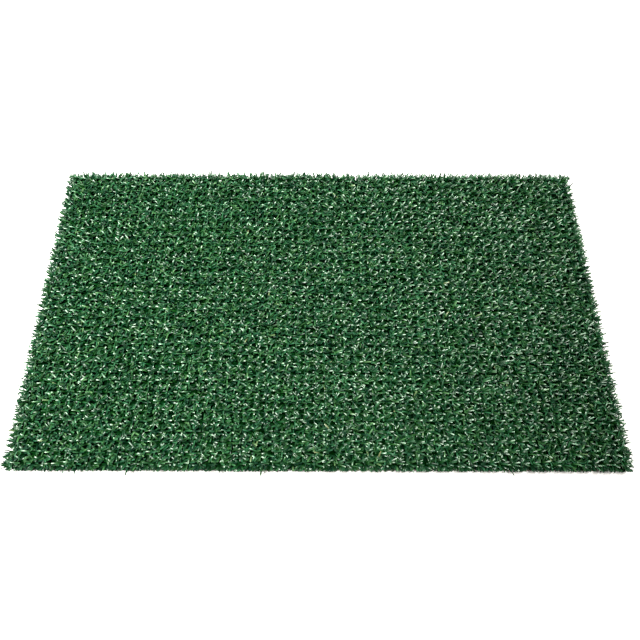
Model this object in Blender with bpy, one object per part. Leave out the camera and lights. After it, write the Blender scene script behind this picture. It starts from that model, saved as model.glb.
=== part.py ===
"""Golf hitting mat: rows of stitched green pile on a cushioned, laminated, non-slip base.

Units are metres and +Z is up. The mat lies flat, with the origin at the middle of its underside. +X runs along
the long side, and the player stands beyond the long edge at -Y. Each row of pile is one yarn, stitched through
the primary backing along X and locked underneath by the latex coat.
"""

import bmesh
import bpy

# Driving dimensions of the whole mat
MAT_LENGTH = 0.700
MAT_DEPTH = 0.400
CLEARANCE = 0.0003  # left between pieces that touch

# Layers, from the floor up
BASE_THICKNESS = 0.0025
ADHESIVE_THICKNESS = 0.0002
PAD_THICKNESS = 0.0050
SECONDARY_THICKNESS = 0.0006
LATEX_THICKNESS = 0.0016
PRIMARY_THICKNESS = 0.0008

# Pile: evenly pitched tufts, in rows along X
ROW_COUNT = 34
TUFTS_PER_ROW = 60
PILE_HEIGHT = 0.015
ROOT_WIDTH = 0.0030  # a tuft at the backing, before its blades spread
SHOULDER_SHARE = 0.55  # of the pile height, where the blades of neighbouring tufts meet
CROWN_SHARE = 0.87  # of the pile height, where the tips begin to round off
CROWN_INSET = 0.0020
STITCH_WIDTH = 0.0024  # the run of yarn under the primary backing
STITCH_THICKNESS = 0.0008
NECK_WIDTH = 0.0012  # the yarn where it passes through the primary backing

# Grip ribs under the base
RIB_COUNT = 41  # odd, so that a rib crosses the middle
GROOVE_WIDTH = 0.0020
GROOVE_DEPTH = 0.0008

ROW_PITCH = MAT_DEPTH / ROW_COUNT
TUFT_PITCH = MAT_LENGTH / TUFTS_PER_ROW
RIB_PITCH = MAT_DEPTH / RIB_COUNT
OVERCUT = 0.001  # how far a cutter runs past the face it opens

# Half lengths along X: the outermost tufts stand half a pitch in from the ends
NECK_REACH = (MAT_LENGTH - TUFT_PITCH + NECK_WIDTH) / 2
STITCH_REACH = (MAT_LENGTH - TUFT_PITCH + STITCH_WIDTH) / 2
ROOT_REACH = (MAT_LENGTH - TUFT_PITCH + ROOT_WIDTH) / 2


def clear_scene():
    for item in list(bpy.data.objects):
        bpy.data.objects.remove(item, do_unlink=True)


def principled(name, colour, roughness):
    material = bpy.data.materials.new(name)
    material.use_nodes = True
    shader = material.node_tree.nodes["Principled BSDF"]
    shader.inputs["Base Color"].default_value = (*colour, 1.0)
    shader.inputs["Roughness"].default_value = roughness
    shader.inputs["Metallic"].default_value = 0.0
    return material


def add_loft(bm, sections, y=0.0):
    """Adds a closed solid through rectangles, each (half length, half width, height), from the lowest up."""
    loops = []
    for half_x, half_y, z in sections:
        corners = ((-half_x, -half_y), (half_x, -half_y), (half_x, half_y), (-half_x, half_y))
        loops.append([bm.verts.new((cx, y + cy, z)) for cx, cy in corners])
    bm.faces.new(reversed(loops[0]))
    bm.faces.new(loops[-1])
    for lower, upper in zip(loops, loops[1:]):
        for i in range(4):
            j = (i + 1) % 4
            bm.faces.new((lower[i], lower[j], upper[j], upper[i]))


def loft_mesh(name, sections, rows=(0.0,)):
    """A mesh of one such solid at each Y in rows."""
    bm = bmesh.new()
    for y in rows:
        add_loft(bm, sections, y)
    bm.normal_update()
    mesh = bpy.data.meshes.new(name)
    bm.to_mesh(mesh)
    bm.free()
    return mesh


def add_object(name, mesh, material, location=(0.0, 0.0, 0.0)):
    piece = bpy.data.objects.new(name, mesh)
    if not mesh.materials:
        mesh.materials.append(material)
    piece.location = location
    bpy.context.collection.objects.link(piece)
    return piece


def add_layer(name, floor, thickness, material):
    """A full-size sheet from height floor. Returns its object and the height where the next one starts."""
    half_x, half_y = MAT_LENGTH / 2, MAT_DEPTH / 2
    mesh = loft_mesh(name, [(half_x, half_y, 0.0), (half_x, half_y, thickness)])
    layer = add_object(name, mesh, material, (0.0, 0.0, floor))
    return layer, floor + thickness + CLEARANCE


def cut_grooves(layer, rows, half_x, half_y, low, high):
    """Cuts one straight groove along X at each Y in rows, between heights low and high of the layer's own frame."""
    mesh = loft_mesh(layer.name + "_cutter", [(half_x, half_y, low), (half_x, half_y, high)], rows)
    cutter = bpy.data.objects.new(mesh.name, mesh)
    cutter.location = layer.location
    cutter.hide_render = True
    cutter.display_type = "WIRE"
    bpy.context.collection.objects.link(cutter)
    cut = layer.modifiers.new("grooves", "BOOLEAN")
    cut.operation = "DIFFERENCE"
    cut.solver = "EXACT"
    cut.object = cutter


def row_centres():
    return [(i + 0.5) * ROW_PITCH - MAT_DEPTH / 2 for i in range(ROW_COUNT)]


def add_rubber_base(floor):
    base, above = add_layer(
        "rubber_base", floor, BASE_THICKNESS, principled("base_rubber", (0.012, 0.012, 0.013), 0.75)
    )
    grooves = [k * RIB_PITCH - MAT_DEPTH / 2 for k in range(1, RIB_COUNT)]
    cut_grooves(base, grooves, MAT_LENGTH / 2 + OVERCUT, GROOVE_WIDTH / 2, -OVERCUT, GROOVE_DEPTH)
    return above


def add_latex_coat(floor):
    """The stitches under the primary backing lie sunk in the coat's upper face."""
    coat, above = add_layer(
        "latex_coat", floor, LATEX_THICKNESS, principled("latex", (0.045, 0.046, 0.045), 0.65)
    )
    groove_floor = LATEX_THICKNESS - STITCH_THICKNESS - CLEARANCE
    cut_grooves(
        coat,
        row_centres(),
        STITCH_REACH + CLEARANCE,
        STITCH_WIDTH / 2 + CLEARANCE,
        groove_floor,
        LATEX_THICKNESS + OVERCUT,
    )
    return above


def add_primary_backing(floor):
    """Each slot is the line of needle holes that one row of pile comes up through. Returns its upper face."""
    backing, above = add_layer(
        "primary_backing", floor, PRIMARY_THICKNESS, principled("backing_weave", (0.014, 0.022, 0.016), 0.80)
    )
    cut_grooves(
        backing,
        row_centres(),
        NECK_REACH + CLEARANCE,
        NECK_WIDTH / 2 + CLEARANCE,
        -OVERCUT,
        PRIMARY_THICKNESS + OVERCUT,
    )
    return above - CLEARANCE


def add_pile(backing_top):
    """One yarn a row: the stitch below the backing, its neck through it, and the pile that spreads above it."""
    stitch_top = -PRIMARY_THICKNESS - CLEARANCE
    spread = (ROW_PITCH - CLEARANCE) / 2
    sections = [
        (STITCH_REACH, STITCH_WIDTH / 2, stitch_top - STITCH_THICKNESS),
        (STITCH_REACH, STITCH_WIDTH / 2, stitch_top),
        (NECK_REACH, NECK_WIDTH / 2, stitch_top),
        (NECK_REACH, NECK_WIDTH / 2, CLEARANCE),
        (ROOT_REACH, ROOT_WIDTH / 2, CLEARANCE),
        (MAT_LENGTH / 2, spread, PILE_HEIGHT * SHOULDER_SHARE),
        (MAT_LENGTH / 2, spread, PILE_HEIGHT * CROWN_SHARE),
        (MAT_LENGTH / 2 - CROWN_INSET, spread - CROWN_INSET, PILE_HEIGHT),
    ]
    mesh = loft_mesh("tuft_row", sections)
    yarn = principled("pile_yarn", (0.030, 0.150, 0.052), 0.42)
    for number, y in enumerate(row_centres(), start=1):
        add_object(f"tuft_row_{number:02d}", mesh, yarn, (0.0, y, backing_top))


def main():
    clear_scene()
    glue = principled("adhesive", (0.30, 0.26, 0.16), 0.45)
    floor = add_rubber_base(0.0)
    _, floor = add_layer("base_adhesive", floor, ADHESIVE_THICKNESS, glue)
    _, floor = add_layer(
        "foam_pad", floor, PAD_THICKNESS, principled("pad_foam", (0.030, 0.031, 0.033), 0.90)
    )
    _, floor = add_layer("pad_adhesive", floor, ADHESIVE_THICKNESS, glue)
    _, floor = add_layer(
        "secondary_backing", floor, SECONDARY_THICKNESS, principled("scrim_weave", (0.11, 0.11, 0.10), 0.85)
    )
    floor = add_latex_coat(floor)
    backing_top = add_primary_backing(floor)
    add_pile(backing_top)


main()
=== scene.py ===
"""Looks of the golf hitting mat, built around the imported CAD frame.

Every row of pile becomes real blades of tape, tuft by tuft, on the yarn that is stitched under the backing.
The backings and the foam pad become pieces with cut edges, and every layer gets a procedural material.
Lengths are in metres and angles in degrees, in the CAD's own frame.
"""

import math

import bpy
import numpy as np
from mathutils import Matrix, Vector


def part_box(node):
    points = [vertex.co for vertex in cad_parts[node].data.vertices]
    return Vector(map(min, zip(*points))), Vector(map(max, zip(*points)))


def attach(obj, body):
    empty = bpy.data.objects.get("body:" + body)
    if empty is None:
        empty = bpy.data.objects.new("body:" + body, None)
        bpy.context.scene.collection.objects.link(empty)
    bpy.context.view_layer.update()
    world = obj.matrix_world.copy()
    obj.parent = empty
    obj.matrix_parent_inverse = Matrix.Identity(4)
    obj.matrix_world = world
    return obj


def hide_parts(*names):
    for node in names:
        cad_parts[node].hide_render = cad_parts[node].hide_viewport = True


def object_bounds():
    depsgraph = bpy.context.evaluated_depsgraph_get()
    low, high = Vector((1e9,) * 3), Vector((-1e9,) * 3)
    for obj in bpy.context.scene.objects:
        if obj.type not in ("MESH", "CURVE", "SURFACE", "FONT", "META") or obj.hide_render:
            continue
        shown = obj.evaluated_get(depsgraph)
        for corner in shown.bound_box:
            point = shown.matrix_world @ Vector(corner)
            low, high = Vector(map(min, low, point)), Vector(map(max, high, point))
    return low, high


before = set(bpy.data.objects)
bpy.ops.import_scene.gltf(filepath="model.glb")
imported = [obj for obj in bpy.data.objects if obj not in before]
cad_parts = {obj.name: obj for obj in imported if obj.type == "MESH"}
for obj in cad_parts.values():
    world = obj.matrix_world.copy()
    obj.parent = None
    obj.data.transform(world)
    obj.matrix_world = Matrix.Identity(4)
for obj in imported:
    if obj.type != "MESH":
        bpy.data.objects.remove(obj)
CAD_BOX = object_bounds()
BODY = "root"
SEED = 4100

# The lattice of tufts
ROWS = 34
TUFTS_PER_ROW = 60
BLADES_PER_TUFT = 14

# How the blades of a tuft stand: lean is at the root, and curl is what a blade bends further by its tip
UPRIGHT_SHARE = 0.4
UPRIGHT_LEAN = (0.0, 14.0)
UPRIGHT_CURL = (60.0, 110.0)
SPREAD_LEAN = (10.0, 38.0)
SPREAD_CURL = (50.0, 100.0)
CURL_POWER = 2.0  # higher keeps the bend nearer the tip
ROW_SQUEEZE = 0.90  # of the spread across the row, to the spread along it
ROW_TURN = 5.0  # shared by all the tufts of a row
AZIMUTH_JITTER = 7.5
LEAN_JITTER = 4.5
CURL_JITTER = 7.5
PHASE_JITTER = 0.10  # of a crimp's wave
ROOT_JITTER = 29.0

# One blade: a tape, flat above and slightly ridged below
BLADE_LENGTH = 0.0185
BLADE_LENGTH_SPREAD = 0.0016
BLADE_WIDTH = 0.0021
BLADE_WIDTH_SHARES = (0.80, 1.15)  # from blade to blade
TIP_WIDTH_SHARE = 0.65
TAPER_POWER = 2.2  # higher keeps the taper nearer the tip
BLADE_THICKNESS = 0.0003
TIP_THICKNESS_SHARE = 0.6
BLADE_STATIONS = 8
ROOT_RADIUS = 0.0012
TWIST = 8.0  # about its own length, at the root
TURN = 10.0  # and further by the tip
SWAY = 0.35  # of its turn, by which a blade veers off sideways too
CRIMP = 25.0
CRIMP_SHARES = (0.4, 1.3)  # from blade to blade
CRIMP_WAVES = (0.5, 1.3)
CRIMP_RISE = 3.0  # to its full size a third of the way up
SMOOTH_TO = 50.0  # any edge that turns further than this is shaded sharp

# More blades on the outermost tufts, which fill out the edge of the mat
SIDE_BLADES = 36
BACK_BLADES = 28
FRONT_BLADES = 14
EDGE_LEAN = (5.0, 55.0)
EDGE_CURL = (20.0, 110.0)
EDGE_FAN = 75.0  # to each side of straight outward
EDGE_LENGTH_SHARE = (0.60, 0.92)  # of an ordinary blade
EDGE_PAINTED_SHADE_SHARE = 0.6  # of an ordinary blade's shade, which makes them darker: painted shade on the outermost blades
STRAY_SHARE = 0.006  # of the blades, which may hang out further
STRAY_OVERHANG = 0.0050  # by this much
FRONT_OVERHANG = 0.0030
SIDE_OVERHANG = 0.0045
BACK_OVERHANG = 0.0058
OVERHANG_PASSES = 4
LEAST_SHARE = 0.2  # of its lean and curl, that a blade keeps in one pass

# The yarn under and through the primary backing
YARN_SIDES = 8
YARN_WIDTH = 0.0023
YARN_THICKNESS = 0.0007
YARN_STATIONS = 4  # for each tuft
HOLE_WIDTH_SHARE = 0.75  # of the yarn, at a needle hole
HOLE_HEIGHT_SHARE = 0.80
NECK_RADIUS = 0.0006
NECK_RISE = 0.0006  # how far the neck stands out of the backing

# Tape colours. TONES runs from the darkest blade to the lightest, bluer and yellower by turns, and it is
# multiplied by the ramp below, which runs from root to tip: painted shade that darkens each blade towards
# its root, deep in the pile, and a painted highlight that lightens its tip.
SHADE_BETA = (1.8, 2.2)  # the distribution of the blades' shades, from 0 to 1
PALETTE_WIDTH = 0.012  # how far a blade's shade differs from its middle to its edges
PALETTE_MARGIN = 0.002  # between the palette's edge and any point on it
YARN_SHADE = 0.3
TONES = [
    (0.0, (0.0015, 0.013, 0.0035)),
    (0.2, (0.0028, 0.022, 0.0110)),
    (0.35, (0.0073, 0.032, 0.0072)),
    (0.5, (0.0070, 0.044, 0.0198)),
    (0.65, (0.0178, 0.058, 0.0162)),
    (0.78, (0.0155, 0.076, 0.0335)),
    (0.88, (0.0295, 0.092, 0.0280)),
    (0.95, (0.0550, 0.125, 0.0470)),
    (1.0, (0.1200, 0.120, 0.0580)),
]
PAINTED_ROOT_SHADE_TIP_LIGHT = [
    (0.0, (0.01, 0.25, 0.03)),
    (0.5, (0.17, 0.46, 0.21)),
    (0.8, (1.0, 1.05, 1.0)),
    (1.0, (1.5, 1.5, 1.5)),
]
TAPE_ROUGHNESS = [(0.0, 0.70), (0.6, 0.42), (1.0, 0.38)]
TAPE_IOR = 1.5
TAPE_SPECULAR = [(0.0, 0.0), (0.55, 0.04), (0.8, 0.5), (1.0, 0.85)]
TAPE_SHEEN_TINT = (0.84, 1.0, 0.84)

# The layers under the pile, and their cut edges
GROWTH = 0.00013  # into the CAD's clearance, above and below, so that less of the gap shows
EDGE_STEP = 0.0010
CORNER_RADIUS = 0.0015
CORNER_POINTS = 5
FOAM_LEVELS = 9  # rings of points up the cut edge
FOAM_ROUNDING = 0.0004
KNIFE_WAVER = 0.0006
KNIFE_REACH = 0.025  # along the edge
CELL_PITS = 0.0005
CELL_REACH = 0.002
WEAVE_LEVELS = 4
WEAVE_ROUNDING = 0.0002
TAPE_ENDS = 0.0006  # how far back the gap between two tapes reaches
TAPE_END_SPREAD = 0.6  # of that, by which the cut tapes differ
SCRIM_PITCH = 0.0030
SCRIM_COLOURS = ((0.040, 0.040, 0.037), (0.120, 0.120, 0.110))
BACKING_PITCH = 0.0020
# The backing's near-black green is its own black, made as dark and green as the shade between tufts: partly
# painted shade.
BACKING_COLOURS = ((0.0003, 0.003, 0.001), (0.002, 0.010, 0.004))

# Camera, and the light over the mat
CAMERA_LENS = 28.219
SENSOR_WIDTH = 36.0
CAMERA_AT = (-0.0003, -0.2561, 0.6082)
CAMERA_PITCH = 68.02
CAMERA_YAW = -0.44
CAMERA_ROLL = 0.57
KEY_AT = (-0.10, -0.20, 2.0)
KEY_SIZE = 0.75
KEY_POWER = 372.0
KEY_AIM = (-4.0, 3.6, 0.0)  # far to the back left, so that the front right is dimmer
KEY_COLOUR = (1.0, 0.985, 0.962)
WORLD_LIGHT = 0.02  # what the mat gets from all round
BACKDROP = 1.0  # what the camera sees behind it
BACKDROP_COLOUR = (1.0, 0.99, 0.97, 1.0)
FLOOR_SIZE = 3.0
FLOOR_GLOW_FROM = 0.42  # from the middle of the mat
FLOOR_GLOW_TO = 0.62


# ---------------------------------------------------------------- node helpers


def new_material(name):
    material = bpy.data.materials.new(name)
    material.use_nodes = True
    tree = material.node_tree
    return material, tree, tree.nodes["Principled BSDF"]


def add_node(tree, kind, settings=None, **inputs):
    """A node with its settings, and with its inputs set to numbers or linked to other nodes' outputs."""
    node = tree.nodes.new(kind)
    for key, value in (settings or {}).items():
        setattr(node, key, value)
    for key, value in inputs.items():
        socket = node.inputs[key.replace("_", " ")]
        if isinstance(value, bpy.types.NodeSocket):
            tree.links.new(value, socket)
        else:
            socket.default_value = value
    return node


def ramp(tree, factor, stops):
    """A colour ramp through (position, colour) stops, where a colour may be one grey level."""
    node = add_node(tree, "ShaderNodeValToRGB", Fac=factor)
    elements = node.color_ramp.elements
    while len(elements) < len(stops):
        elements.new(0.5)
    for element, (position, colour) in zip(elements, stops):
        element.position = position
        element.color = (colour,) * 3 + (1.0,) if isinstance(colour, float) else (*colour, 1.0)
    return node.outputs["Color"]


def blend(tree, mode, factor, first, second):
    node = add_node(tree, "ShaderNodeMix", {"data_type": "RGBA", "blend_type": mode})
    for socket, value in zip((node.inputs[0], node.inputs[6], node.inputs[7]), (factor, first, second)):
        if isinstance(value, bpy.types.NodeSocket):
            tree.links.new(value, socket)
        else:
            socket.default_value = value
    return node.outputs[2]


def place(tree):
    return tree.nodes.new("ShaderNodeTexCoord").outputs["Object"]


def noise(tree, size, detail=4.0):
    """Noise whose lumps are about size metres across."""
    node = add_node(tree, "ShaderNodeTexNoise", Vector=place(tree), Scale=1.0 / size, Detail=detail)
    return node.outputs[0]


def cells(tree, size, output):
    """A Voronoi pattern of cells about size metres across."""
    return add_node(tree, "ShaderNodeTexVoronoi", Vector=place(tree), Scale=1.0 / size).outputs[output]


def finish_surface(tree, shader, colour, roughness, height, relief, specular):
    """Links colour and roughness, and a bump that is relief metres from its lowest to its highest."""
    bump = add_node(tree, "ShaderNodeBump", Strength=1.0, Distance=relief, Height=height)
    tree.links.new(colour, shader.inputs["Base Color"])
    tree.links.new(roughness, shader.inputs["Roughness"])
    tree.links.new(bump.outputs["Normal"], shader.inputs["Normal"])
    shader.inputs["Specular IOR Level"].default_value = specular


# ---------------------------------------------------------------- materials


def tape_material():
    """Green polyethylene tape. UV is the palette: U the blade's own shade, V root to tip for painted shade
    and highlight.
    """
    material, tree, shader = new_material("pile_tape")
    palette = add_node(tree, "ShaderNodeUVMap", {"uv_map": "OFBake"})
    split = add_node(tree, "ShaderNodeSeparateXYZ", Vector=palette.outputs["UV"])
    shade, along = split.outputs["X"], split.outputs["Y"]
    # the root-to-tip ramp paints shade at the root and a highlight at the tip over each blade's own tone
    colour = blend(tree, "MULTIPLY", 1.0, ramp(tree, shade, TONES), ramp(tree, along, PAINTED_ROOT_SHADE_TIP_LIGHT))
    tree.links.new(colour, shader.inputs["Base Color"])
    tree.links.new(ramp(tree, along, TAPE_ROUGHNESS), shader.inputs["Roughness"])
    shader.inputs["IOR"].default_value = TAPE_IOR
    tree.links.new(ramp(tree, along, TAPE_SPECULAR), shader.inputs["Specular IOR Level"])
    shader.inputs["Specular Tint"].default_value = (*TAPE_SHEEN_TINT, 1.0)
    return material


def weave_material(name, pitch, dark, light):
    """Plain weave of flat tapes, pitch metres apart both ways, with fibres in each tape and painted shade
    in the dips between crowns.
    """
    material, tree, shader = new_material(name)
    scale = add_node(tree, "ShaderNodeVectorMath", {"operation": "MULTIPLY"})
    tree.links.new(place(tree), scale.inputs[0])
    scale.inputs[1].default_value = (1.0 / pitch, 1.0 / pitch, 0.0)
    grid = scale.outputs[0]
    crowns = [
        add_node(
            tree,
            "ShaderNodeTexWave",
            {"wave_type": "BANDS", "bands_direction": direction},
            Vector=grid,
            Scale=math.pi / 10,  # one wave for each tape
            Distortion=0.0,
        ).outputs[1]
        for direction in ("X", "Y")
    ]
    over = add_node(tree, "ShaderNodeTexChecker", Vector=grid, Scale=1.0).outputs[1]
    height = blend(tree, "MIX", over, *crowns)
    fibres = noise(tree, size=0.0011, detail=6.0)
    # fibre streaks are the tapes' own colour; the darker dips between crowns are painted shade
    colour = ramp(tree, blend(tree, "MULTIPLY", 0.5, height, fibres), [(0.0, dark), (0.6, light)])
    roughness = ramp(tree, fibres, [(0.3, 0.60), (0.7, 0.88)])
    finish_surface(tree, shader, colour, roughness, height, relief=0.0002, specular=0.0)
    return material


def foam_material():
    """Charcoal closed-cell foam: the knife leaves its small bubbles open along the cut edge, each darkened
    with painted shade.
    """
    material, tree, shader = new_material("pad_foam")
    bubbles = cells(tree, size=0.0009, output="Distance")
    fine = noise(tree, size=0.0004)
    # painted shade: the colour darkens towards each cell's middle, down in its pit
    shade = blend(tree, "MULTIPLY", 0.6, bubbles, fine)
    colour = ramp(tree, shade, [(0.0, 0.005), (0.35, 0.017), (0.8, 0.038)])
    roughness = ramp(tree, fine, [(0.3, 0.85), (0.7, 1.0)])
    finish_surface(tree, shader, colour, roughness, bubbles, relief=0.0004, specular=0.2)
    return material


def rubber_material():
    """Black crumb-filled rubber with a dull bloom."""
    material, tree, shader = new_material("base_rubber")
    crumb = cells(tree, size=0.0014, output="Color")
    bloom = noise(tree, size=0.022)
    grain = noise(tree, size=0.0007)
    shade = blend(tree, "MIX", 0.35, bloom, crumb)
    tones = [(0.25, (0.006, 0.006, 0.007)), (0.6, (0.012, 0.012, 0.013)), (0.9, (0.026, 0.026, 0.027))]
    colour = ramp(tree, shade, tones)
    roughness = ramp(tree, bloom, [(0.3, 0.62), (0.7, 0.84)])
    height = blend(tree, "MIX", 0.5, grain, crumb)
    finish_surface(tree, shader, colour, roughness, height, relief=0.0001, specular=0.4)
    return material


def latex_material():
    """Dark filled latex, poured and cured, with a slight skin."""
    material, tree, shader = new_material("latex")
    filler = noise(tree, size=0.0008, detail=6.0)
    flow = noise(tree, size=0.008)
    shade = blend(tree, "MIX", 0.5, flow, filler)
    colour = ramp(tree, shade, [(0.3, (0.016, 0.017, 0.016)), (0.7, (0.040, 0.041, 0.039))])
    roughness = ramp(tree, flow, [(0.3, 0.55), (0.7, 0.75)])
    finish_surface(tree, shader, colour, roughness, shade, relief=0.0002, specular=0.4)
    return material


def adhesive_material():
    """Amber film, glossy where it pooled."""
    material, tree, shader = new_material("adhesive")
    pools = noise(tree, size=0.006)
    colour = ramp(tree, pools, [(0.3, (0.120, 0.095, 0.050)), (0.7, (0.240, 0.205, 0.125))])
    roughness = ramp(tree, pools, [(0.3, 0.28), (0.7, 0.55)])
    finish_surface(tree, shader, colour, roughness, pools, relief=0.0001, specular=0.5)
    return material


def floor_material():
    """Matt white board, lit from inside beyond FLOOR_GLOW_FROM, where the key light fades."""
    material, tree, shader = new_material("floor_board")
    mottle = noise(tree, size=0.033)
    colour = ramp(tree, mottle, [(0.3, (0.850, 0.840, 0.815)), (0.7, (0.865, 0.855, 0.830))])
    roughness = ramp(tree, mottle, [(0.3, 0.85), (0.7, 0.95)])
    finish_surface(tree, shader, colour, roughness, mottle, relief=0.0001, specular=0.5)
    away = add_node(tree, "ShaderNodeVectorMath", {"operation": "LENGTH"})
    tree.links.new(place(tree), away.inputs[0])
    reach = {"From_Min": FLOOR_GLOW_FROM, "From_Max": FLOOR_GLOW_TO, "To_Max": BACKDROP}
    glow = add_node(tree, "ShaderNodeMapRange", Value=away.outputs["Value"], **reach)
    shader.inputs["Emission Color"].default_value = BACKDROP_COLOUR
    tree.links.new(glow.outputs[0], shader.inputs["Emission Strength"])
    return material


# ---------------------------------------------------------------- mesh helpers


def mesh_from_arrays(name, points, *face_groups):
    """A mesh of points, and of groups of faces that each have one row of point numbers for a face."""
    corners = np.concatenate([group.ravel() for group in face_groups])
    sizes = np.concatenate([np.full(len(group), group.shape[1]) for group in face_groups])
    starts = np.concatenate([[0], np.cumsum(sizes)[:-1]])
    mesh = bpy.data.meshes.new(name)
    mesh.vertices.add(len(points))
    mesh.vertices.foreach_set("co", points.astype(np.float32).ravel())
    mesh.loops.add(len(corners))
    mesh.loops.foreach_set("vertex_index", corners.astype(np.int32))
    mesh.polygons.add(len(starts))
    mesh.polygons.foreach_set("loop_start", starts.astype(np.int32))
    mesh.update(calc_edges=True)
    mesh.polygons.foreach_set("use_smooth", np.ones(len(starts), bool))
    mesh.set_sharp_from_angle(angle=math.radians(SMOOTH_TO))
    return mesh


def loft_faces(rings, sides):
    """Faces of one closed loft whose points run ring by ring: its quads, then the polygons of its ends."""
    ring = np.arange(rings - 1)[:, None] * sides
    side = np.arange(sides)[None, :]
    after = (side + 1) % sides
    quads = np.stack([ring + side, ring + after, ring + sides + after, ring + sides + side], axis=-1)
    around = np.arange(sides)
    return quads.reshape(-1, 4), np.stack([around[::-1], (rings - 1) * sides + around])


def repeated(faces, count, stride, first=0):
    """The same faces for each of count shapes, whose points start stride apart, from point number first."""
    start = first + stride * np.arange(count)
    return (faces[None] + start[:, None, None]).reshape(-1, faces.shape[1])


def add_piece(name, mesh, material, node):
    """Links a piece that rides on the mat and stands for a CAD node."""
    mesh.materials.append(material)
    piece = bpy.data.objects.new(name, mesh)
    bpy.context.collection.objects.link(piece)
    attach(piece, BODY)
    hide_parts(node)
    return piece


# ---------------------------------------------------------------- blades


def stratified(rng, low, high, count):
    """count values spread evenly from low to high, in random order."""
    return rng.permutation(low + (high - low) * (np.arange(count) + rng.uniform(0, 1, count)) / count)


def blade_kinds():
    """The blades that every tuft repeats, give or take: upright ones and a ring of spread ones."""
    rng = np.random.default_rng(SEED - 2)
    upright = round(BLADES_PER_TUFT * UPRIGHT_SHARE)
    spread = BLADES_PER_TUFT - upright
    azimuth = np.concatenate([stratified(rng, 0, 360, upright), stratified(rng, 0, 360, spread)])
    lean = np.concatenate([stratified(rng, *UPRIGHT_LEAN, upright), stratified(rng, *SPREAD_LEAN, spread)])
    curl = np.concatenate([stratified(rng, *UPRIGHT_CURL, upright), stratified(rng, *SPREAD_CURL, spread)])
    waves = stratified(rng, *CRIMP_WAVES, BLADES_PER_TUFT)
    phase = stratified(rng, 0.0, 1.0, BLADES_PER_TUFT)
    return np.radians(azimuth), np.radians(lean), np.radians(curl), waves, phase


def blade_set(rng, centres, azimuth, lean, curl, waves, phase):
    """Arrays that describe blades, one entry each, from arrays with one row for each tuft centre."""
    shape = azimuth.shape
    root_angle = azimuth + rng.normal(0.0, math.radians(ROOT_JITTER), shape)
    root = np.zeros((*shape, 3))
    root[..., 0] = centres[:, None, 0] + ROOT_RADIUS * np.cos(root_angle)
    root[..., 1] = centres[:, None, 1] + ROOT_RADIUS * np.sin(root_angle)
    root[..., 2] = centres[:, None, 2]
    blades = {
        "azimuth": azimuth,
        "lean": lean,
        "curl": curl,
        "waves": waves,
        "phase": phase,
        "length": rng.normal(BLADE_LENGTH, BLADE_LENGTH_SPREAD, shape),
        "width": BLADE_WIDTH * rng.uniform(*BLADE_WIDTH_SHARES, shape),
        "twist": rng.normal(0.0, math.radians(TWIST), shape),
        "turn": rng.normal(0.0, math.radians(TURN), shape),
        "crimp": math.radians(CRIMP) * rng.uniform(*CRIMP_SHARES, shape),
        "shade": rng.beta(*SHADE_BETA, shape),
        "stray": STRAY_OVERHANG * (rng.uniform(0.0, 1.0, shape) < STRAY_SHARE),
    }
    return {"root": root.reshape(-1, 3)} | {key: values.ravel() for key, values in blades.items()}


def row_blades(rng, centres):
    """The ordinary blades of a row's tufts: the shared kinds, each a little off, turned together by row."""
    shape = (len(centres), BLADES_PER_TUFT)
    azimuth, lean, curl, waves, phase = blade_kinds()
    azimuth = azimuth + rng.normal(0.0, math.radians(ROW_TURN))
    azimuth = azimuth + rng.normal(0.0, math.radians(AZIMUTH_JITTER), shape)
    lean = np.abs(lean + rng.normal(0.0, math.radians(LEAN_JITTER), shape))
    curl = curl + rng.normal(0.0, math.radians(CURL_JITTER), shape)
    squeeze = np.hypot(np.cos(azimuth), ROW_SQUEEZE * np.sin(azimuth))
    azimuth = np.arctan2(ROW_SQUEEZE * np.sin(azimuth), np.cos(azimuth))
    waves = waves + np.zeros(shape)
    phase = phase + rng.normal(0.0, PHASE_JITTER, shape)
    return blade_set(rng, centres, azimuth, lean * squeeze, curl * squeeze, waves, phase)


def edge_blades(rng, centres, outward, count):
    """More blades for tufts at an edge of the mat, all leaning out over it and darkened with painted shade.
    """
    shape = (len(centres), count)
    azimuth = outward + np.radians(rng.uniform(-EDGE_FAN, EDGE_FAN, shape))
    lean = np.radians(rng.uniform(*EDGE_LEAN, shape))
    curl = np.radians(rng.uniform(*EDGE_CURL, shape))
    waves = rng.uniform(*CRIMP_WAVES, shape)
    phase = rng.uniform(0.0, 1.0, shape)
    blades = blade_set(rng, centres, azimuth, lean, curl, waves, phase)
    blades["length"] *= rng.uniform(*EDGE_LENGTH_SHARE, azimuth.size)
    # Painted shade: the edge blades are darkened, as the edge of the pile lies in shade.
    blades["shade"] *= EDGE_PAINTED_SHADE_SHARE
    return blades


def blades_of_row(rng, row, centres):
    sets = [
        row_blades(rng, centres),
        edge_blades(rng, centres[:1], math.pi, SIDE_BLADES),
        edge_blades(rng, centres[-1:], 0.0, SIDE_BLADES),
    ]
    if row == 0:
        sets.append(edge_blades(rng, centres, -math.pi / 2, FRONT_BLADES))
    if row == ROWS - 1:
        sets.append(edge_blades(rng, centres, math.pi / 2, BACK_BLADES))
    return {key: np.concatenate([blades[key] for blades in sets]) for key in sets[0]}


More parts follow.
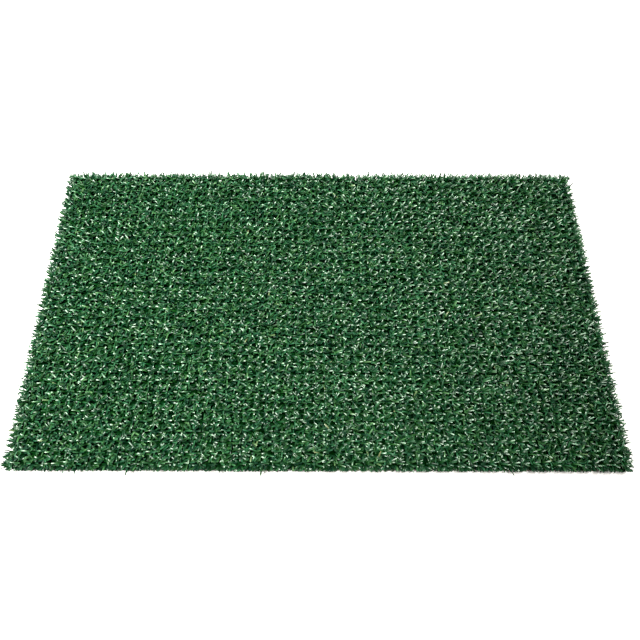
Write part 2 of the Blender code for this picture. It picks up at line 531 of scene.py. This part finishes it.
def blade_lines(blades, along):
    """Middle line of every blade, its tangents and its sideways directions, as (blade, station, xyz)."""
    wave = np.sin(2 * math.pi * (blades["waves"][:, None] * along + blades["phase"][:, None]))
    crimp = blades["crimp"][:, None] * wave * np.minimum(1.0, CRIMP_RISE * along)
    lean = blades["lean"][:, None] + blades["curl"][:, None] * along**CURL_POWER + crimp
    azimuth = blades["azimuth"][:, None] + SWAY * blades["turn"][:, None] * along
    outward = np.stack([np.cos(azimuth), np.sin(azimuth), np.zeros_like(azimuth)], axis=-1)
    up = np.array([0.0, 0.0, 1.0])
    tangent = np.sin(lean)[..., None] * outward + np.cos(lean)[..., None] * up
    side = np.stack([-np.sin(azimuth), np.cos(azimuth), np.zeros_like(azimuth)], axis=-1)
    step = blades["length"][:, None, None] / (BLADE_STATIONS - 1)
    middle = (tangent[:, :-1] + tangent[:, 1:]) / 2
    line = np.concatenate([np.zeros_like(tangent[:, :1]), np.cumsum(middle * step, axis=1)], axis=1)
    return line + blades["root"][:, None, :], tangent, side


def keep_inside(blades, along):
    """Stands a blade that would hang too far over an edge of the mat more upright, until it doesn't."""
    low, high = CAD_BOX
    for axis, sign, edge, overhang in (
        (1, -1, low[1], FRONT_OVERHANG),
        (1, 1, high[1], BACK_OVERHANG),
        (0, -1, low[0], SIDE_OVERHANG),
        (0, 1, high[0], SIDE_OVERHANG),
    ):
        for _ in range(OVERHANG_PASSES):
            line, _, _ = blade_lines(blades, along)
            root = sign * (blades["root"][:, axis] - edge)
            reach = (sign * (line[..., axis] - edge)).max(axis=1)
            most = overhang + blades["stray"]
            share = np.where(reach > most, (most - root) / np.maximum(reach - root, 1e-6), 1.0)
            share = np.clip(share, LEAST_SHARE, 1.0)
            blades["lean"] = blades["lean"] * share
            blades["curl"] = blades["curl"] * share


def blade_points(blades, along):
    """Corner points of every blade, as (blade, station, corner, xyz): a tapered tape, ridged below."""
    line, tangent, side = blade_lines(blades, along)
    normal = np.cross(side, tangent)
    roll = (blades["twist"][:, None] + blades["turn"][:, None] * along)[..., None]
    side, normal = side * np.cos(roll) + normal * np.sin(roll), normal * np.cos(roll) - side * np.sin(roll)
    taper = 1.0 - (1.0 - TIP_WIDTH_SHARE) * along**TAPER_POWER
    half_width = (blades["width"][:, None] * taper / 2)[..., None]
    thick = BLADE_THICKNESS * (1.0 - (1.0 - TIP_THICKNESS_SHARE) * along)[None, :, None]
    return np.stack([line - half_width * side, line - thick * normal, line + half_width * side], axis=2)


# ---------------------------------------------------------------- rows of pile


def tuft_centres(node):
    """Where a row's tufts come up through the backing."""
    low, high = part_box(node)
    pitch = (high[0] - low[0]) / TUFTS_PER_ROW
    x = low[0] + pitch * (np.arange(TUFTS_PER_ROW) + 0.5)
    y = (low[1] + high[1]) / 2
    backing_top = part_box("primary_backing")[1][2]
    return np.stack([x, np.full_like(x, y), np.full_like(x, backing_top)], axis=1)


def stitch_points(centres, low_z):
    """Rings of the yarn's run under the backing, narrower at each needle hole, as (ring, side, xyz)."""
    count = YARN_STATIONS * (len(centres) - 1) + 1
    x = np.linspace(centres[0, 0] - YARN_WIDTH / 2, centres[-1, 0] + YARN_WIDTH / 2, count)
    pitch = centres[1, 0] - centres[0, 0]
    between = np.sin(math.pi * (x - centres[0, 0]) / pitch) ** 2
    around = 2 * math.pi * np.arange(YARN_SIDES) / YARN_SIDES
    half_width = YARN_WIDTH / 2 * (HOLE_WIDTH_SHARE + (1.0 - HOLE_WIDTH_SHARE) * between)
    half_height = YARN_THICKNESS / 2 * (HOLE_HEIGHT_SHARE + (1.0 - HOLE_HEIGHT_SHARE) * between)
    rings = np.empty((count, YARN_SIDES, 3))
    rings[..., 0] = x[:, None]
    rings[..., 1] = centres[0, 1] + half_width[:, None] * np.cos(around)
    rings[..., 2] = low_z + YARN_THICKNESS / 2 + half_height[:, None] * np.sin(around)
    return rings


def neck_points(centres, low_z):
    """Rings of each tuft's neck, from the yarn up to where the blades part, as (tuft, ring, side, xyz)."""
    around = 2 * math.pi * np.arange(YARN_SIDES) / YARN_SIDES
    top = centres[0, 2]
    rings = np.empty((len(centres), 3, YARN_SIDES, 3))
    for ring, (radius, z) in enumerate(
        ((NECK_RADIUS, low_z + YARN_THICKNESS / 2), (NECK_RADIUS, top), (ROOT_RADIUS, top + NECK_RISE))
    ):
        rings[:, ring, :, 0] = centres[:, None, 0] + radius * np.cos(around)
        rings[:, ring, :, 1] = centres[:, None, 1] + radius * np.sin(around)
        rings[:, ring, :, 2] = z
    return rings


def row_mesh(name, blades, centres, low_z):
    """One mesh of a row's blades, then its run of yarn, then its necks, with the palette as its UV map."""
    along = np.linspace(0.0, 1.0, BLADE_STATIONS)
    keep_inside(blades, along)
    parts = [blade_points(blades, along), stitch_points(centres, low_z)[None], neck_points(centres, low_z)]
    faces, first = [], 0
    for part in parts:
        count, rings, sides = part.shape[:3]
        for group in loft_faces(rings, sides):
            faces.append(repeated(group, count, rings * sides, first))
        first += count * rings * sides
    mesh = mesh_from_arrays(name, np.concatenate([part.reshape(-1, 3) for part in parts]), *faces)

    shape = parts[0].shape[:3]
    palette = np.zeros((first, 2))
    u = blades["shade"][:, None, None] + np.array([-1.0, 0.0, 1.0]) * PALETTE_WIDTH
    blade_corners = math.prod(shape)
    palette[:blade_corners, 0] = np.broadcast_to(u, shape).ravel()
    palette[:blade_corners, 1] = np.broadcast_to(along[None, :, None], shape).ravel()
    # The yarn and the necks sit at the palette's root, in its darkest painted shade.
    palette[blade_corners:, 0] = YARN_SHADE
    palette = np.clip(palette, PALETTE_MARGIN, 1.0 - PALETTE_MARGIN)
    corner_points = np.empty(len(mesh.loops), np.int32)
    mesh.loops.foreach_get("vertex_index", corner_points)
    layer = mesh.uv_layers.new(name="OFBake")
    layer.uv.foreach_set("vector", palette[corner_points].astype(np.float32).ravel())
    return mesh


def add_pile(material):
    for row in range(ROWS):
        rng = np.random.default_rng(SEED + row)
        node = f"tuft_row_{row + 1:02d}"
        centres = tuft_centres(node)
        name = f"pile_row_{row + 1:02d}"
        mesh = row_mesh(name, blades_of_row(rng, row, centres), centres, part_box(node)[0][2])
        add_piece(name, mesh, material, node)


# ---------------------------------------------------------------- layers


def rounded_outline(low, high):
    """Points round a rectangle with rounded corners, EDGE_STEP apart, and the outward direction at each."""
    centres = [
        np.array([x, y])
        for x, y in (
            (high[0] - CORNER_RADIUS, high[1] - CORNER_RADIUS),
            (low[0] + CORNER_RADIUS, high[1] - CORNER_RADIUS),
            (low[0] + CORNER_RADIUS, low[1] + CORNER_RADIUS),
            (high[0] - CORNER_RADIUS, low[1] + CORNER_RADIUS),
        )
    ]
    points, outward = [], []
    for quarter, centre in enumerate(centres):
        angles = math.pi / 2 * (quarter + np.linspace(0, 1, CORNER_POINTS))
        directions = np.stack([np.cos(angles), np.sin(angles)], axis=1)
        arc = centre + CORNER_RADIUS * directions
        run = centres[(quarter + 1) % 4] - centre
        count = int(np.hypot(*run) / EDGE_STEP)
        share = np.arange(1, count)[:, None] / count
        points += [arc, arc[-1] + share * run]
        outward += [directions, np.repeat(directions[-1:], count - 1, axis=0)]
    return np.concatenate(points), np.concatenate(outward)


def wandering(rng, levels, count, reach):
    """Random depths from 0 to 1, smoothed over reach metres along the edge, with one row for each level."""
    points = round(reach / EDGE_STEP)
    values = rng.uniform(0, 1, (levels, count))
    smooth = sum(np.roll(values, shift, axis=1) for shift in range(points)) / points
    return (smooth - smooth.min()) / (smooth.max() - smooth.min())


def slab_mesh(name, low, high, levels, edge_depths, rounding):
    """A flat layer whose edge is cut in by edge_depths(count), with one row for each of its levels."""
    outline, outward = rounded_outline(low, high)
    share = np.linspace(0.0, 1.0, levels)
    thickness = high[2] - low[2]
    near = np.clip(1.0 - np.minimum(share, 1.0 - share) * thickness / rounding, 0.0, 1.0)
    depth = rounding * (1.0 - np.sqrt(1.0 - near**2))[:, None] + edge_depths(len(outline))
    rings = np.empty((levels, len(outline), 3))
    rings[..., :2] = outline[None] - outward[None] * depth[..., None]
    rings[..., 2] = (low[2] + thickness * share)[:, None]
    return mesh_from_arrays(name, rings.reshape(-1, 3), *loft_faces(levels, len(outline)))


def knife_cut(rng):
    """Foam edge: a wavering knife line, and a pit wherever it opened a cell."""

    def depths(count):
        line = KNIFE_WAVER * wandering(rng, 1, count, KNIFE_REACH)
        pits = CELL_PITS * wandering(rng, FOAM_LEVELS, count, CELL_REACH) ** 2
        return line + pits

    return depths


def tape_ends(rng, pitch):
    """Woven edge: the tapes end pitch apart, each cut a little differently, with a gap between."""

    def depths(count):
        tape, place_in_tape = np.divmod(np.arange(count) * EDGE_STEP, pitch)
        cut = rng.uniform(0.0, TAPE_END_SPREAD, int(tape.max()) + 1)[tape.astype(int)]
        gap = np.where(place_in_tape < EDGE_STEP, 1.0, cut)
        return np.repeat(TAPE_ENDS * gap[None, :], WEAVE_LEVELS, axis=0)

    return depths


def grown(node):
    """A node's box, thicker by GROWTH above and below."""
    low, high = (np.array(corner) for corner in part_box(node))
    low[2] -= GROWTH
    high[2] += GROWTH
    return low, high


def add_foam(rng):
    mesh = slab_mesh("foam_cushion", *grown("foam_pad"), FOAM_LEVELS, knife_cut(rng), FOAM_ROUNDING)
    cushion = add_piece("foam_cushion", mesh, foam_material(), "foam_pad")


def add_weave(rng, name, node, slot, pitch, colours):
    """A woven sheet laid flat against the latex coat."""
    low, high = grown(node)
    mesh = slab_mesh(name, low, high, WEAVE_LEVELS, tape_ends(rng, pitch), WEAVE_ROUNDING)
    sheet = add_piece(name, mesh, weave_material(slot, pitch, *colours), node)


def finish_kept_layers():
    """Materials for the layers whose CAD shape stays."""
    adhesive = adhesive_material()
    kept = {
        "rubber_base": rubber_material(),
        "base_adhesive": adhesive,
        "pad_adhesive": adhesive,
        "latex_coat": latex_material(),
    }
    for node, material in kept.items():
        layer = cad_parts[node]
        layer.data.materials.clear()
        layer.data.materials.append(material)


def add_layers():
    rng = np.random.default_rng(SEED - 1)
    add_foam(rng)
    add_weave(rng, "scrim_sheet", "secondary_backing", "scrim_weave", SCRIM_PITCH, SCRIM_COLOURS)
    add_weave(rng, "backing_sheet", "primary_backing", "backing_weave", BACKING_PITCH, BACKING_COLOURS)
    finish_kept_layers()


# ---------------------------------------------------------------- stage


def add_floor():
    bpy.ops.mesh.primitive_plane_add(size=FLOOR_SIZE, location=(0.0, 0.0, 0.0))
    floor = bpy.context.object
    floor.name = "floor"
    floor.data.materials.append(floor_material())


def add_key_light():
    """A soft round light over the mat."""
    data = bpy.data.lights.new("key", "AREA")
    data.shape = "DISK"
    data.size = KEY_SIZE
    data.energy = KEY_POWER
    data.color = KEY_COLOUR
    light = bpy.data.objects.new("key", data)
    light.location = KEY_AT
    light.rotation_euler = (Vector(KEY_AIM) - Vector(KEY_AT)).to_track_quat("-Z", "Y").to_euler()
    bpy.context.collection.objects.link(light)


def add_world():
    """Very little light from all round, though the camera sees a pale backdrop there."""
    world = bpy.data.worlds.new("studio")
    world.use_nodes = True
    tree = world.node_tree
    seen = add_node(tree, "ShaderNodeLightPath").outputs["Is Camera Ray"]
    strength = add_node(tree, "ShaderNodeMapRange", To_Min=WORLD_LIGHT, To_Max=BACKDROP, Value=seen)
    background = tree.nodes["Background"]
    background.inputs["Color"].default_value = BACKDROP_COLOUR
    tree.links.new(strength.outputs[0], background.inputs["Strength"])
    bpy.context.scene.world = world


def add_camera():
    data = bpy.data.cameras.new("camera")
    data.lens = CAMERA_LENS
    data.sensor_width = SENSOR_WIDTH
    camera = bpy.data.objects.new("camera", data)
    turn = Matrix.Rotation(math.radians(CAMERA_YAW), 4, "Z")
    tilt = Matrix.Rotation(math.radians(90.0 - CAMERA_PITCH), 4, "X")
    roll = Matrix.Rotation(math.radians(CAMERA_ROLL), 4, "Z")
    camera.matrix_world = Matrix.Translation(CAMERA_AT) @ turn @ tilt @ roll
    bpy.context.collection.objects.link(camera)
    bpy.context.scene.camera = camera


def main():
    add_pile(tape_material())
    add_layers()
    add_floor()
    add_world()
    add_key_light()
    add_camera()
    bpy.context.scene.view_settings.view_transform = "Standard"


main()
